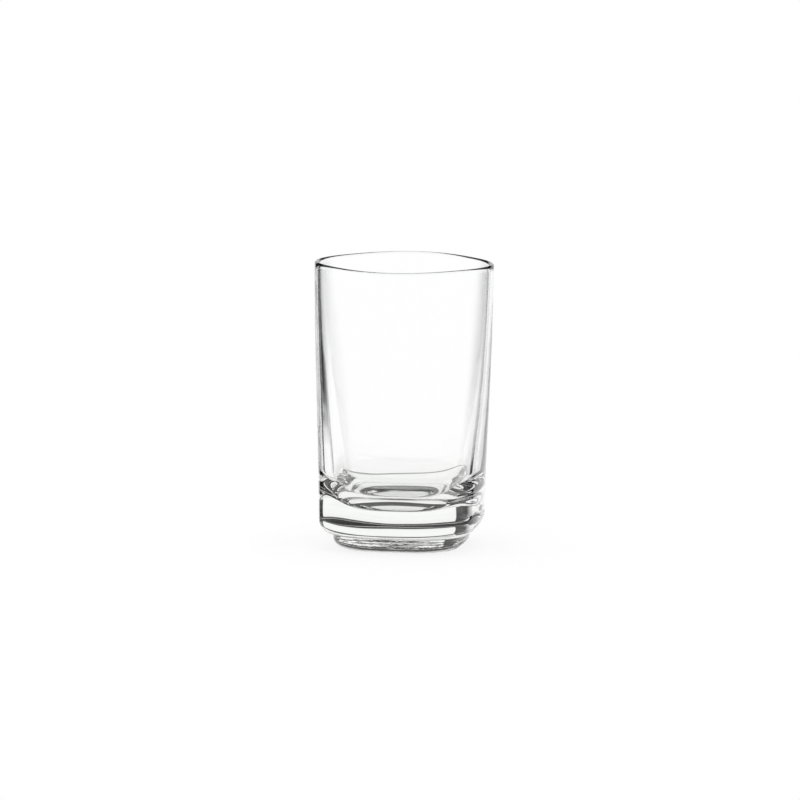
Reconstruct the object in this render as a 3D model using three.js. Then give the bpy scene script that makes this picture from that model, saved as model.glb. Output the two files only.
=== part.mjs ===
// Liqueur glass: one pressed piece of clear glass.
// It has a thick base on a narrower foot, a rounded shoulder, a wall that thins towards the lip, and a
// cavity with a widely rounded bottom.
// Millimetres, +Z up. The glass stands on z = 0 and the Z axis is its middle.
//
// Every level section is a soft square, |x|^n + |y|^n = a^n, with the half-width a between its flats. A power n
// of 2 is a circle, and a higher power fills out the corners.
// The flats of the foot and the body face X and Y. The rim is turned by an eighth of a turn, so that its
// corners stand over the flats of the body, and the wall swells a little on its way from one to the other.

import * as THREE from "three";

// Whole glass
const HEIGHT = 70;

// Rim, across the flats that face the diagonals
const RIM_HALF_WIDTH = 20.4;
const RIM_POWER = 2.6;

// Body, where its wall leaves the shoulder, and the swell of the wall above it
const BODY_HALF_WIDTH = 19.4;
const BODY_POWER = 4;
const SHOULDER_HEIGHT = 4;
const WALL_SWELL = 0.5;

// Foot, which draws in towards the table, and the shallow dome pressed into its underside
const FOOT_HEIGHT = 3.9;
const FOOT_HALF_WIDTH = 16.9;
const FOOT_POWER = 3;
const FOOT_SLANT = 0.5;
const FOOT_EDGE_RADIUS = 3;
const RECESS_HALF_WIDTH = 10.8;
const RECESS_DEPTH = 2.6;

// Cavity: the wall at the lip and at the level of the floor, the floor, and the rounding between wall and floor
const LIP_THICKNESS = 1.2;
const LOWER_WALL = 3.3;
const WALL_GROWTH = 1.6;
const FLOOR_HEIGHT = 10.2;
const FLOOR_RADIUS = 9.6;

// Fineness of the mesh: points round a section, and steps along each stretch of the profile
const SIDES = 72;
const RECESS_STEPS = 6;
const FOOT_EDGE_STEPS = 6;
const SHOULDER_STEPS = 7;
const WALL_STEPS = 9;
const LIP_STEPS = 8;
const FLOOR_EDGE_STEPS = 12;

// Clear soda-lime glass
const GLASS_COLOUR = 0xf4f7f5;
const GLASS_ROUGHNESS = 0.03;
const GLASS_OPACITY = 0.3;
const GLASS_METALNESS = 0;

const { lerp } = THREE.MathUtils;
const SHOULDER_TOP = FOOT_HEIGHT + SHOULDER_HEIGHT;
const LIP_RADIUS = LIP_THICKNESS / 2;
const LIP_BASE = HEIGHT - LIP_RADIUS;
const TURN = 2 * Math.PI;
const HALF = TURN / 2;
const QUARTER = TURN / 4;
const EIGHTH = TURN / 8;

// Distance from the middle of a soft square to its outline, towards an angle
function softSquare(half, power, angle) {
  const x = Math.abs(Math.cos(angle));
  const y = Math.abs(Math.sin(angle));
  return half / Math.pow(x ** power + y ** power, 1 / power);
}

// The three outlines that shape the glass. Each gives the distance from the axis towards an angle
const footOutline = (angle) => softSquare(FOOT_HALF_WIDTH, FOOT_POWER, angle);
const bodyOutline = (angle) => softSquare(BODY_HALF_WIDTH, BODY_POWER, angle);
const rimOutline = (angle) => softSquare(RIM_HALF_WIDTH, RIM_POWER, angle - EIGHTH);

// An outline between two others
function between(first, second, share) {
  return (angle) => lerp(first(angle), second(angle), share);
}

// Mean distance of an outline from the axis
function meanRadius(outline) {
  const radii = Array.from({ length: SIDES }, (_, i) => outline((TURN * i) / SIDES));
  return radii.reduce((sum, radius) => sum + radius, 0) / SIDES;
}

// An outline drawn in on all sides, by a depth that is a mean round it
function drawnIn(outline, depth) {
  const scale = 1 - depth / meanRadius(outline);
  return (angle) => scale * outline(angle);
}

// Outer wall at a height above the shoulder
function wallOutline(z) {
  const share = (z - SHOULDER_TOP) / (HEIGHT - SHOULDER_TOP);
  const straight = between(bodyOutline, rimOutline, share);
  return (angle) => straight(angle) + WALL_SWELL * Math.sin(HALF * share);
}

// Cavity at a height above the floor, at a distance in from where its wall would run on
function cavityOutline(z, inwards = 0) {
  const below = (HEIGHT - z) / (HEIGHT - FLOOR_HEIGHT);
  const wall = lerp(LIP_THICKNESS, LOWER_WALL, Math.pow(below, WALL_GROWTH));
  return drawnIn(wallOutline(z), wall + inwards);
}

// Points of an elliptical arc in a plane where y is the height
function arc(centreX, centreZ, radiusX, radiusZ, from, to, steps) {
  const clockwise = to < from;
  const curve = new THREE.EllipseCurve(centreX, centreZ, radiusX, radiusZ, from, to, clockwise);
  return curve.getPoints(steps);
}

// Points of an arc of a circle in the same plane
function roundArc(centreX, centreZ, radius, from, to, steps) {
  return arc(centreX, centreZ, radius, radius, from, to, steps);
}

// Heights from one level to another, both included
function levels(from, to, steps) {
  return Array.from({ length: steps + 1 }, (_, i) => lerp(from, to, i / steps));
}

// A station of the foot, by its half-width and its height
function footStation({ x, y }) {
  return { z: y, outline: (angle) => (x / FOOT_HALF_WIDTH) * footOutline(angle) };
}

// Underside: a shallow dome in the middle, inside the flat ring that the glass rests on
function undersideStations() {
  const capRadius = (RECESS_HALF_WIDTH ** 2 + RECESS_DEPTH ** 2) / (2 * RECESS_DEPTH);
  const capAngle = Math.asin(RECESS_HALF_WIDTH / capRadius);
  const capCentre = RECESS_DEPTH - capRadius;
  return roundArc(0, capCentre, capRadius, QUARTER, QUARTER - capAngle, RECESS_STEPS).map(footStation);
}

// Foot: the rounded edge between the resting ring and the slanted side, which runs up to the shoulder
function footStations() {
  const centre = FOOT_HALF_WIDTH - FOOT_SLANT - FOOT_EDGE_RADIUS;
  return roundArc(centre, FOOT_EDGE_RADIUS, FOOT_EDGE_RADIUS, -QUARTER, 0, FOOT_EDGE_STEPS).map(footStation);
}

// Shoulder: a quarter round from the top of the foot's side out to the body
function shoulderStations() {
  return arc(0, SHOULDER_TOP, 1, SHOULDER_HEIGHT, -QUARTER, 0, SHOULDER_STEPS).map((p) => ({
    z: p.y,
    outline: between(footOutline, bodyOutline, p.x),
  }));
}

// Outer wall, between the shoulder and the lip
function wallStations() {
  return levels(SHOULDER_TOP, LIP_BASE, WALL_STEPS).slice(1, -1).map((z) => ({ z, outline: wallOutline(z) }));
}

// Lip: a half round from the outer wall over to the cavity wall
function lipStations() {
  const outside = wallOutline(LIP_BASE);
  const inside = cavityOutline(LIP_BASE);
  return arc(0, LIP_BASE, 1, LIP_RADIUS, HALF, 0, LIP_STEPS).map((p) => ({
    z: p.y,
    outline: between(outside, inside, (1 + p.x) / 2),
  }));
}

// Cavity: the wall, and the rounding from it into the flat middle of the floor
function cavityStations() {
  const wallBase = FLOOR_HEIGHT + FLOOR_RADIUS;
  const wall = levels(LIP_BASE, wallBase, WALL_STEPS).slice(1, -1).map((z) => ({ z, outline: cavityOutline(z) }));
  const edge = roundArc(FLOOR_RADIUS, wallBase, FLOOR_RADIUS, HALF, HALF + QUARTER, FLOOR_EDGE_STEPS);
  return [...wall, ...edge.map((p) => ({ z: p.y, outline: cavityOutline(p.y, p.x) }))];
}

// The whole profile, from the middle of the underside, out and up the wall, over the lip and down to the
// middle of the floor. The first and the last station lie on the axis
function profileStations() {
  return [
    ...undersideStations(),
    ...footStations(),
    ...shoulderStations(),
    ...wallStations(),
    ...lipStations(),
    ...cavityStations(),
    { z: FLOOR_HEIGHT },
  ];
}

// Points of a section, at even angles round the axis
function sectionPoints({ z, outline }) {
  return Array.from({ length: SIDES }, (_, i) => {
    const angle = (TURN * i) / SIDES;
    const radius = outline(angle);
    return [radius * Math.cos(angle), radius * Math.sin(angle), z];
  });
}

// Closed skin over a profile: a point at each end on the axis, and a ring for each station between them
function loft(stations) {
  const first = stations[0];
  const last = stations[stations.length - 1];
  const rings = stations.slice(1, -1).map(sectionPoints);
  const points = [[0, 0, first.z], ...rings.flat(), [0, 0, last.z]];
  const end = points.length - 1;
  const at = (ring, side) => 1 + ring * SIDES + (side % SIDES);
  const faces = [];
  for (let side = 0; side < SIDES; side += 1) {
    faces.push(0, at(0, side + 1), at(0, side));
    for (let ring = 0; ring < rings.length - 1; ring += 1) {
      faces.push(at(ring, side), at(ring, side + 1), at(ring + 1, side + 1));
      faces.push(at(ring, side), at(ring + 1, side + 1), at(ring + 1, side));
    }
    faces.push(end, at(rings.length - 1, side), at(rings.length - 1, side + 1));
  }
  const geometry = new THREE.BufferGeometry();
  geometry.setAttribute("position", new THREE.Float32BufferAttribute(points.flat(), 3));
  geometry.setIndex(faces);
  geometry.computeVertexNormals();
  return geometry;
}

function clearGlass() {
  return new THREE.MeshStandardMaterial({
    color: GLASS_COLOUR,
    roughness: GLASS_ROUGHNESS,
    metalness: GLASS_METALNESS,
    opacity: GLASS_OPACITY,
    transparent: true,
  });
}

const glassBody = new THREE.Mesh(loft(profileStations()), clearGlass());
glassBody.name = "glass_body";

const liqueurGlass = new THREE.Group();
liqueurGlass.name = "liqueur_glass";
liqueurGlass.add(glassBody);

export default liqueurGlass;
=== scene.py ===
import math

import bmesh
import bpy
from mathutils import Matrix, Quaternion, Vector


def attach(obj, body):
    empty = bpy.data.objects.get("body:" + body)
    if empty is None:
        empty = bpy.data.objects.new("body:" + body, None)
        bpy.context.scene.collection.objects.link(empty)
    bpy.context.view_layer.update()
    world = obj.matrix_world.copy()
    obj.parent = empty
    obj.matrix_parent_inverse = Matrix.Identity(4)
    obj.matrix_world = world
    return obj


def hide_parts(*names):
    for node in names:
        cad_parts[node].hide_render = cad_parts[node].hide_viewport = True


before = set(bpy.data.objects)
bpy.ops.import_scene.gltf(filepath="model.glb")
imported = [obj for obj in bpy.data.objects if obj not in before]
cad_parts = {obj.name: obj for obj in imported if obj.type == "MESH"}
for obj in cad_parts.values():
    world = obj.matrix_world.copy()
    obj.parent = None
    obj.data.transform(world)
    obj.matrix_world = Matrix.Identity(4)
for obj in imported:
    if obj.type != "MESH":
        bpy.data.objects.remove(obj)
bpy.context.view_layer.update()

# Lengths here are in millimetres, and the scene is in metres
MILLIMETRE = 0.001

# Sizes of the glass, the same as in the part's source
HEIGHT = 70.0
RIM_HALF_WIDTH = 20.4
RIM_POWER = 2.6
BODY_HALF_WIDTH = 19.4
BODY_POWER = 4.0
SHOULDER_HEIGHT = 4.0
WALL_SWELL = 0.5
FOOT_HEIGHT = 3.9
FOOT_HALF_WIDTH = 16.9
FOOT_POWER = 3.0
FOOT_SLANT = 0.5
FOOT_EDGE_RADIUS = 3.0
RECESS_HALF_WIDTH = 10.8
RECESS_DEPTH = 2.6
LIP_THICKNESS = 1.2
LOWER_WALL = 3.3
WALL_GROWTH = 1.6
FLOOR_HEIGHT = 10.2
FLOOR_RADIUS = 9.6

# Fineness of the mesh: points round a section, points that an outline's mean is taken from, and steps along
# each stretch of the profile
SIDES = 288
MEAN_STEPS = 72
RECESS_STEPS = 16
RING_STEPS = 4
FOOT_EDGE_STEPS = 12
FOOT_SIDE_STEPS = 4
SHOULDER_STEPS = 24
WALL_STEPS = 40
LIP_STEPS = 16
FLOOR_EDGE_STEPS = 48
FLOOR_STEPS = 6

# Camera: angles in degrees, and the photograph's scale at the glass
IMAGE_SIZE = 800
SENSOR = 36.0
CAMERA_TURN = 9.0
CAMERA_ELEVATION = 8.13
CAMERA_ROLL = 0.55
CAMERA_DISTANCE = 2450.0
PIXELS_PER_MILLIMETRE = 4.078
AIM_HEIGHT = 35.9
AIM_LEFT = 0.74

# Studio: white walls round a white table, two dark flags between the wall behind the glass and the other
# walls, a narrow card on each flag that reaches lower, a dim strip light above the wall behind, and a dark
# room. Angles are in degrees above the horizon, or to either side of the middle of the wall behind, which is
# a little to the right of the line of sight. A level of 1 is white
PANEL_LEAN = 7.5
PANEL_EDGE = 31.5
PANEL_TOP = 15.0
FLAG_END = 62.0
FLAG_FADE = 26.0
FLAG_FOOT = -13.0
CARD_END = 38.5
CARD_FOOT = -22.0
STRIP_FOOT = 25.0
STRIP_TOP = 41.0
STRIP_EDGE = 60.0
EDGE_SOFTNESS = 2.0
STRIP_LEVEL = 0.5
DARK_LEVEL = 0.04
WHITE = (1.0, 1.0, 1.0, 1.0)

# Stage floor: a pale disc that mostly glows. For all rays but the camera's it carries a painted shadow, dark
# on the ring where the foot rests, with a faint painted shade inside that ring, and it is grey at the disc's
# edge
DISC_RADIUS = 50.0
DISC_SIDES = 96
DISC_SHIFT = 12.0
DISC_COLOUR = (0.18, 0.18, 0.18, 1.0)
DISC_GLOW = 0.84
DISC_EDGE = 2.0
EDGE_LEVEL = 0.2
# Painted shadow under the foot: the inner and outer radius of its dark ring, their softness, the ring's
# level, and the level of the faint painted shade inside the ring
PAINTED_SHADOW_INNER = 8.8
PAINTED_SHADOW_OUTER = 13.6
PAINTED_SHADOW_SOFTNESS = 0.8
PAINTED_SHADOW_LEVEL = 0.08
PAINTED_SHADE_UNDER_LEVEL = 0.95

# Glass: its colour, and the streaks, ripples, marks and scuffs in it by their size, depth and reach
GLASS_COLOUR = (0.996, 0.999, 0.997, 1.0)
GLASS_IOR = 1.52
TINT_COLOUR = (0.88, 0.9, 0.87, 1.0)
TINT_DENSITY = 8.0
STREAK_COLOUR = (0.96, 0.968, 0.952, 1.0)
STREAK_LENGTH = 9.0
STREAK_HEIGHT = 2.5
STREAK_DETAIL = 2.0
STREAK_TOP = 18.0
STREAK_FADE = 18.0
RIPPLE_LENGTH = 7.0
RIPPLE_DETAIL = 1.0
RIPPLE_DEPTH = 0.02
MARK_LENGTH = 2.6
MARK_HEIGHT = 0.7
MARK_DETAIL = 2.0
MARK_DEPTH = 0.05
MARK_TOP = 3.6
MARK_FADE = 1.0
SCUFF_ROUGHNESS = 0.2
SCUFF_TOP = 0.5
SCUFF_FADE = 0.5

TURN = 2 * math.pi
HALF = TURN / 2
QUARTER = TURN / 4
EIGHTH = TURN / 8
SHOULDER_TOP = FOOT_HEIGHT + SHOULDER_HEIGHT
FOOT_BOTTOM = FOOT_HALF_WIDTH - FOOT_SLANT
LIP_RADIUS = LIP_THICKNESS / 2
LIP_BASE = HEIGHT - LIP_RADIUS


def lerp(first, second, share):
    """A value between two others."""
    return first + (second - first) * share


def soft_square(half, power, angle):
    """Distance from the middle of a soft square to its outline, towards an angle."""
    x = abs(math.cos(angle))
    y = abs(math.sin(angle))
    return half / (x ** power + y ** power) ** (1 / power)


def foot_outline(angle):
    """Foot, at the top of its side."""
    return soft_square(FOOT_HALF_WIDTH, FOOT_POWER, angle)


def body_outline(angle):
    """Body, where its wall leaves the shoulder."""
    return soft_square(BODY_HALF_WIDTH, BODY_POWER, angle)


def rim_outline(angle):
    """Rim, with its corners over the flats of the body."""
    return soft_square(RIM_HALF_WIDTH, RIM_POWER, angle - EIGHTH)


def between(first, second, share):
    """An outline between two others."""
    return lambda angle: lerp(first(angle), second(angle), share)


def scaled(outline, scale):
    """An outline drawn larger or smaller round the axis."""
    return lambda angle: scale * outline(angle)


def mean_radius(outline):
    """Mean distance of an outline from the axis."""
    return sum(outline(TURN * i / MEAN_STEPS) for i in range(MEAN_STEPS)) / MEAN_STEPS


def drawn_in(outline, depth):
    """An outline drawn in on all sides, by a depth that is a mean round it."""
    return scaled(outline, 1 - depth / mean_radius(outline))


def wall_outline(z):
    """Outer wall at a height above the shoulder."""
    share = (z - SHOULDER_TOP) / (HEIGHT - SHOULDER_TOP)
    straight = between(body_outline, rim_outline, share)
    return lambda angle: straight(angle) + WALL_SWELL * math.sin(HALF * share)


def cavity_outline(z, inwards=0.0):
    """Cavity at a height above its floor, at a distance in from where its wall would run on."""
    below = (HEIGHT - z) / (HEIGHT - FLOOR_HEIGHT)
    wall = lerp(LIP_THICKNESS, LOWER_WALL, below ** WALL_GROWTH)
    return drawn_in(wall_outline(z), wall + inwards)


def levels(start, end, steps):
    """Values from one to another, both included."""
    return [lerp(start, end, i / steps) for i in range(steps + 1)]


def arc(centre_x, centre_z, radius_x, radius_z, start, end, steps):
    """Points of an elliptical arc, each by its distance from the axis and its height."""
    angles = levels(start, end, steps)
    return [(centre_x + radius_x * math.cos(a), centre_z + radius_z * math.sin(a)) for a in angles]


def round_arc(centre_x, centre_z, radius, start, end, steps):
    """Points of an arc of a circle."""
    return arc(centre_x, centre_z, radius, radius, start, end, steps)


def foot_station(x, z):
    """A station of the foot, by its half-width and its height."""
    return z, scaled(foot_outline, x / FOOT_HALF_WIDTH)


def underside_stations():
    """Shallow dome in the middle, inside the flat ring that the glass rests on."""
    cap_radius = (RECESS_HALF_WIDTH ** 2 + RECESS_DEPTH ** 2) / (2 * RECESS_DEPTH)
    cap_angle = math.asin(RECESS_HALF_WIDTH / cap_radius)
    cap_centre = RECESS_DEPTH - cap_radius
    cap = round_arc(0, cap_centre, cap_radius, QUARTER, QUARTER - cap_angle, RECESS_STEPS)
    ring = levels(RECESS_HALF_WIDTH, FOOT_BOTTOM - FOOT_EDGE_RADIUS, RING_STEPS)[1:-1]
    return [foot_station(x, z) for x, z in cap] + [foot_station(x, 0.0) for x in ring]


def foot_stations():
    """Rounded edge between the resting ring and the slanted side, and the side."""
    centre = FOOT_BOTTOM - FOOT_EDGE_RADIUS
    edge = round_arc(centre, FOOT_EDGE_RADIUS, FOOT_EDGE_RADIUS, -QUARTER, 0, FOOT_EDGE_STEPS)
    side_widths = levels(FOOT_BOTTOM, FOOT_HALF_WIDTH, FOOT_SIDE_STEPS)[1:-1]
    side_heights = levels(FOOT_EDGE_RADIUS, FOOT_HEIGHT, FOOT_SIDE_STEPS)[1:-1]
    return [foot_station(x, z) for x, z in [*edge, *zip(side_widths, side_heights)]]


def shoulder_stations():
    """Quarter round from the top of the foot's side out to the body."""
    shape = arc(0, SHOULDER_TOP, 1, SHOULDER_HEIGHT, -QUARTER, 0, SHOULDER_STEPS)
    return [(z, between(foot_outline, body_outline, x)) for x, z in shape]


def wall_stations():
    """Outer wall, between the shoulder and the lip."""
    return [(z, wall_outline(z)) for z in levels(SHOULDER_TOP, LIP_BASE, WALL_STEPS)[1:-1]]


def lip_stations():
    """Half round from the outer wall over to the cavity wall."""
    outside = wall_outline(LIP_BASE)
    inside = cavity_outline(LIP_BASE)
    shape = arc(0, LIP_BASE, 1, LIP_RADIUS, HALF, 0, LIP_STEPS)
    return [(z, between(outside, inside, (1 + x) / 2)) for x, z in shape]


def cavity_stations():
    """Cavity wall, the rounding from it into the floor, and the floor in to its middle."""
    wall_base = FLOOR_HEIGHT + FLOOR_RADIUS
    wall = [(z, cavity_outline(z)) for z in levels(LIP_BASE, wall_base, WALL_STEPS)[1:-1]]
    shape = round_arc(FLOOR_RADIUS, wall_base, FLOOR_RADIUS, HALF, HALF + QUARTER, FLOOR_EDGE_STEPS)
    rounding = [(z, cavity_outline(z, x)) for x, z in shape]
    floor_outline = rounding[-1][1]
    floor = [(FLOOR_HEIGHT, scaled(floor_outline, scale)) for scale in levels(1, 0, FLOOR_STEPS)[1:]]
    return wall + rounding + floor


def section(z, outline):
    """Points of a section in metres, at even angles round the axis."""
    points = []
    for i in range(SIDES):
        angle = TURN * i / SIDES
        radius = outline(angle)
        points.append(Vector((radius * math.cos(angle), radius * math.sin(angle), z)) * MILLIMETRE)
    return points


def add_object(name, mesh):
    """A new object in the scene, from a finished mesh."""
    data = bpy.data.meshes.new(name)
    mesh.to_mesh(data)
    mesh.free()
    added = bpy.data.objects.new(name, data)
    bpy.context.scene.collection.objects.link(added)
    return added


def build_glass():
    """One closed skin, from the middle of the underside up the wall, over the lip and down to the floor."""
    stations = underside_stations() + foot_stations() + shoulder_stations()
    stations += wall_stations() + lip_stations() + cavity_stations()
    mesh = bmesh.new()
    rings = [[mesh.verts.new(point) for point in section(z, outline)] for z, outline in stations[1:-1]]
    bottom = mesh.verts.new(Vector((0, 0, stations[0][0])) * MILLIMETRE)
    top = mesh.verts.new(Vector((0, 0, stations[-1][0])) * MILLIMETRE)
    for i in range(SIDES):
        j = (i + 1) % SIDES
        mesh.faces.new((bottom, rings[0][j], rings[0][i]))
        for lower, upper in zip(rings, rings[1:]):
            mesh.faces.new((lower[i], lower[j], upper[j], upper[i]))
        mesh.faces.new((top, rings[-1][i], rings[-1][j]))
    for face in mesh.faces:
        face.smooth = True
    return add_object("glass", mesh)


class Nodes:
    """The node tree of a material or a world, with short ways to add what these need."""

    def __init__(self, owner):
        owner.use_nodes = True
        self.nodes = owner.node_tree.nodes
        self.links = owner.node_tree.links

    def feed(self, socket, value):
        """Set a socket to a fixed value, or link it to another node's output."""
        if isinstance(value, bpy.types.NodeSocket):
            self.links.new(value, socket)
        else:
            socket.default_value = value

    def maths(self, operation, *values):
        """Result of an operation on numbers and other nodes' outputs."""
        node = self.nodes.new("ShaderNodeMath")
        node.operation = operation
        for socket, value in zip(node.inputs, values):
            self.feed(socket, value)
        return node.outputs["Value"]

    def fade(self, value, middle, width, start, end):
        """Smooth change from one level to another, as a value crosses a band round its middle."""
        node = self.nodes.new("ShaderNodeMapRange")
        node.interpolation_type = "SMOOTHSTEP"
        node.inputs["From Min"].default_value = middle - width / 2
        node.inputs["From Max"].default_value = middle + width / 2
        node.inputs["To Min"].default_value = start
        node.inputs["To Max"].default_value = end
        self.links.new(value, node.inputs["Value"])
        return node.outputs["Result"]

    def above(self, value, limit, width):
        """Share that is 1 above a limit and 0 below it, with a soft change between."""
        return self.fade(value, limit, width, 0.0, 1.0)

    def below(self, value, limit, width):
        """Share that is 1 below a limit and 0 above it, with a soft change between."""
        return self.fade(value, limit, width, 1.0, 0.0)

    def noise(self, place, length, height, detail):
        """Noise whose grains have a length to all sides and a height."""
        stretch = self.nodes.new("ShaderNodeVectorMath")
        stretch.operation = "DIVIDE"
        self.links.new(place, stretch.inputs[0])
        stretch.inputs[1].default_value = Vector((length, length, height)) * MILLIMETRE
        node = self.nodes.new("ShaderNodeTexNoise")
        node.inputs["Scale"].default_value = 1.0
        node.inputs["Detail"].default_value = detail
        self.links.new(stretch.outputs["Vector"], node.inputs["Vector"])
        return node.outputs["Fac"]

    def split(self, vector):
        """The three parts of a vector."""
        node = self.nodes.new("ShaderNodeSeparateXYZ")
        self.links.new(vector, node.inputs["Vector"])
        return [node.outputs[axis] for axis in "XYZ"]

    def distance(self, vector):
        """Length of a vector in millimetres."""
        node = self.nodes.new("ShaderNodeVectorMath")
        node.operation = "LENGTH"
        self.links.new(vector, node.inputs[0])
        return self.maths("DIVIDE", node.outputs["Value"], MILLIMETRE)

    def mix(self, share, first, second):
        """A colour between two others."""
        node = self.nodes.new("ShaderNodeMix")
        node.data_type = "RGBA"
        self.feed(node.inputs["Factor"], share)
        self.feed(node.inputs["A"], first)
        self.feed(node.inputs["B"], second)
        return node.outputs["Result"]


def glass_material():
    """Clear pressed glass, with a faint grey-green in its thickness."""
    material = bpy.data.materials.new("clear_glass")
    tree = Nodes(material)
    nodes, links = tree.nodes, tree.links
    shader = nodes["Principled BSDF"]
    shader.inputs["IOR"].default_value = GLASS_IOR
    shader.inputs["Transmission Weight"].default_value = 1.0
    place = nodes.new("ShaderNodeTexCoord").outputs["Object"]
    height = tree.maths("DIVIDE", tree.split(place)[-1], MILLIMETRE)

    # Ripples of the pressed surface all over, and short marks that run round the foot
    ripples = tree.noise(place, RIPPLE_LENGTH, RIPPLE_LENGTH, RIPPLE_DETAIL)
    marks = tree.noise(place, MARK_LENGTH, MARK_HEIGHT, MARK_DETAIL)
    foot_marks = tree.maths("MULTIPLY", marks, tree.below(height, MARK_TOP, MARK_FADE))
    relief = tree.maths("ADD", tree.maths("MULTIPLY", ripples, RIPPLE_DEPTH),
                        tree.maths("MULTIPLY", foot_marks, MARK_DEPTH))
    bump = nodes.new("ShaderNodeBump")
    bump.inputs["Distance"].default_value = MILLIMETRE
    links.new(relief, bump.inputs["Height"])
    links.new(bump.outputs["Normal"], shader.inputs["Normal"])

    # Scuffs where the foot rests. The rest is polished
    scuffed = tree.fade(height, SCUFF_TOP, SCUFF_FADE, SCUFF_ROUGHNESS, 0.0)
    links.new(tree.maths("MULTIPLY", scuffed, marks), shader.inputs["Roughness"])

    # Faint streaks in the thick base
    streaks = tree.noise(place, STREAK_LENGTH, STREAK_HEIGHT, STREAK_DETAIL)
    base_streaks = tree.maths("MULTIPLY", streaks, tree.below(height, STREAK_TOP, STREAK_FADE))
    links.new(tree.mix(base_streaks, GLASS_COLOUR, STREAK_COLOUR), shader.inputs["Base Color"])

    absorption = nodes.new("ShaderNodeVolumeAbsorption")
    absorption.inputs["Color"].default_value = TINT_COLOUR
    absorption.inputs["Density"].default_value = TINT_DENSITY
    links.new(absorption.outputs["Volume"], nodes["Material Output"].inputs["Volume"])
    return material


def floor_material():
    """Pale floor, plain for the camera, with a painted shadow ring under the foot and the grey edge for
    other rays.
    """
    material = bpy.data.materials.new("pale_floor")
    tree = Nodes(material)
    nodes, links = tree.nodes, tree.links
    nodes.remove(nodes["Principled BSDF"])
    from_axis = tree.distance(nodes.new("ShaderNodeNewGeometry").outputs["Position"])
    # Painted shadow: for rays other than the camera's, the glow dims a little inside the ring where the foot
    # rests and drops to dark on that ring
    painted_shade_inside = tree.fade(from_axis, PAINTED_SHADOW_INNER, PAINTED_SHADOW_SOFTNESS, PAINTED_SHADE_UNDER_LEVEL, PAINTED_SHADOW_LEVEL)
    painted_shadow_outside = tree.fade(from_axis, PAINTED_SHADOW_OUTER, PAINTED_SHADOW_SOFTNESS, PAINTED_SHADOW_LEVEL, 1.0)
    ring = tree.maths("MAXIMUM", painted_shade_inside, painted_shadow_outside)
    from_middle = tree.distance(nodes.new("ShaderNodeTexCoord").outputs["Object"])
    edge = tree.fade(from_middle, DISC_RADIUS - DISC_EDGE, DISC_EDGE, 1.0, EDGE_LEVEL)
    camera_ray = nodes.new("ShaderNodeLightPath").outputs["Is Camera Ray"]
    level = tree.maths("MAXIMUM", camera_ray, tree.maths("MULTIPLY", ring, edge))

    diffuse = nodes.new("ShaderNodeBsdfDiffuse")
    diffuse.inputs["Color"].default_value = DISC_COLOUR
    glow = nodes.new("ShaderNodeEmission")
    links.new(tree.maths("MULTIPLY", level, DISC_GLOW), glow.inputs["Strength"])
    both = nodes.new("ShaderNodeAddShader")
    links.new(diffuse.outputs["BSDF"], both.inputs[0])
    links.new(glow.outputs["Emission"], both.inputs[1])
    links.new(both.outputs["Shader"], nodes["Material Output"].inputs["Surface"])
    return material


def build_floor():
    """Disc that the glass stands on, a little off its middle."""
    mesh = bmesh.new()
    bmesh.ops.create_circle(mesh, cap_ends=True, radius=DISC_RADIUS * MILLIMETRE, segments=DISC_SIDES)
    floor = add_object("floor", mesh)
    floor.location.x = DISC_SHIFT * MILLIMETRE
    floor.data.materials.append(floor_material())


def studio_angles(tree):
    """Angles of a direction, from the middle of the wall behind the glass and above the horizon."""
    x, y, z = tree.split(tree.nodes.new("ShaderNodeTexCoord").outputs["Generated"])
    turn = math.radians(CAMERA_TURN)
    along = tree.maths("SUBTRACT", tree.maths("MULTIPLY", y, math.cos(turn)),
                       tree.maths("MULTIPLY", x, math.sin(turn)))
    across = tree.maths("ADD", tree.maths("MULTIPLY", x, math.cos(turn)),
                        tree.maths("MULTIPLY", y, math.sin(turn)))
    side = tree.maths("DEGREES", tree.maths("ARCTAN2", across, along))
    angle = tree.maths("ABSOLUTE", tree.maths("SUBTRACT", side, PANEL_LEAN))
    rise = tree.maths("DEGREES", tree.maths("ARCSINE", z))
    return angle, rise


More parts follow.
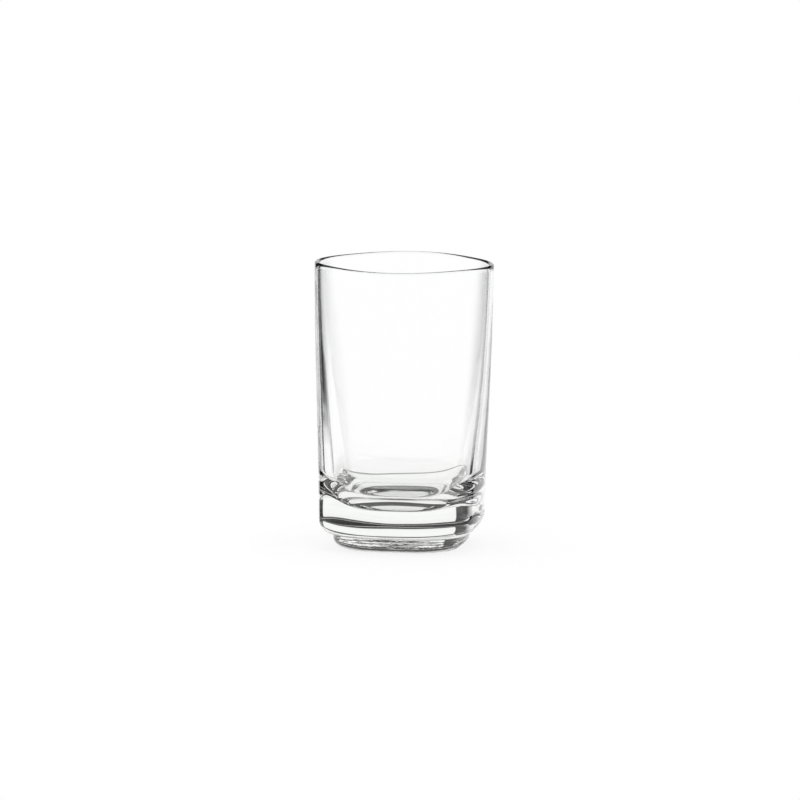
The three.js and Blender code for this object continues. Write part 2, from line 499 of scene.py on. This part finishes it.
def studio_level(tree):
    """Level of the studio in a direction: its walls, its table and its strip light, in a dark room."""
    angle, rise = studio_angles(tree)
    round_table = tree.maths("MAXIMUM", tree.below(angle, PANEL_EDGE, EDGE_SOFTNESS),
                             tree.above(angle, FLAG_END, FLAG_FADE))
    walls = tree.maths("MULTIPLY", round_table, tree.below(rise, PANEL_TOP, EDGE_SOFTNESS))

    card_width = tree.maths("MULTIPLY", tree.above(angle, PANEL_EDGE, EDGE_SOFTNESS),
                            tree.below(angle, CARD_END, EDGE_SOFTNESS))
    card = tree.maths("MULTIPLY", card_width, tree.above(rise, CARD_FOOT, EDGE_SOFTNESS))
    table = tree.maths("MULTIPLY", tree.below(rise, FLAG_FOOT, EDGE_SOFTNESS),
                       tree.maths("SUBTRACT", 1.0, card))

    strip_height = tree.maths("MULTIPLY", tree.fade(rise, STRIP_FOOT, EDGE_SOFTNESS, 0.0, STRIP_LEVEL),
                              tree.below(rise, STRIP_TOP, EDGE_SOFTNESS))
    strip = tree.maths("MULTIPLY", strip_height, tree.below(angle, STRIP_EDGE, EDGE_SOFTNESS))
    white = tree.maths("MAXIMUM", walls, table)
    return tree.maths("MAXIMUM", white, tree.maths("MAXIMUM", strip, DARK_LEVEL))


def build_studio():
    """World: plain white for camera and diffuse rays, and the studio for the rays of the glass."""
    world = bpy.data.worlds.new("studio")
    bpy.context.scene.world = world
    tree = Nodes(world)
    path = tree.nodes.new("ShaderNodeLightPath")
    plain = tree.maths("MAXIMUM", path.outputs["Is Camera Ray"], path.outputs["Is Diffuse Ray"])
    background = tree.nodes["Background"]
    background.inputs["Strength"].default_value = 1.0
    tree.links.new(tree.mix(plain, studio_level(tree), WHITE), background.inputs["Color"])


def build_camera():
    """Camera at the photograph's angle, with the glass at the photograph's place and scale."""
    data = bpy.data.cameras.new("camera")
    data.sensor_width = SENSOR
    data.lens = SENSOR * PIXELS_PER_MILLIMETRE * CAMERA_DISTANCE / IMAGE_SIZE
    camera = bpy.data.objects.new("camera", data)
    bpy.context.scene.collection.objects.link(camera)
    turn = math.radians(CAMERA_TURN)
    rise = math.radians(CAMERA_ELEVATION)
    back = Vector((math.sin(turn) * math.cos(rise), -math.cos(turn) * math.cos(rise), math.sin(rise)))
    left = Vector((-math.cos(turn), -math.sin(turn), 0))
    aim = left * AIM_LEFT + Vector((0, 0, AIM_HEIGHT))
    camera.location = (aim + back * CAMERA_DISTANCE) * MILLIMETRE
    camera.rotation_mode = "QUATERNION"
    roll = Quaternion((0, 0, 1), math.radians(CAMERA_ROLL))
    camera.rotation_quaternion = (-back).to_track_quat("-Z", "Y") @ roll
    bpy.context.scene.camera = camera


build_camera()
glass = build_glass()
glass.data.materials.append(glass_material())
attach(glass, "root")
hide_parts("glass_body")
build_floor()
build_studio()
bpy.context.scene.view_settings.view_transform = "Standard"
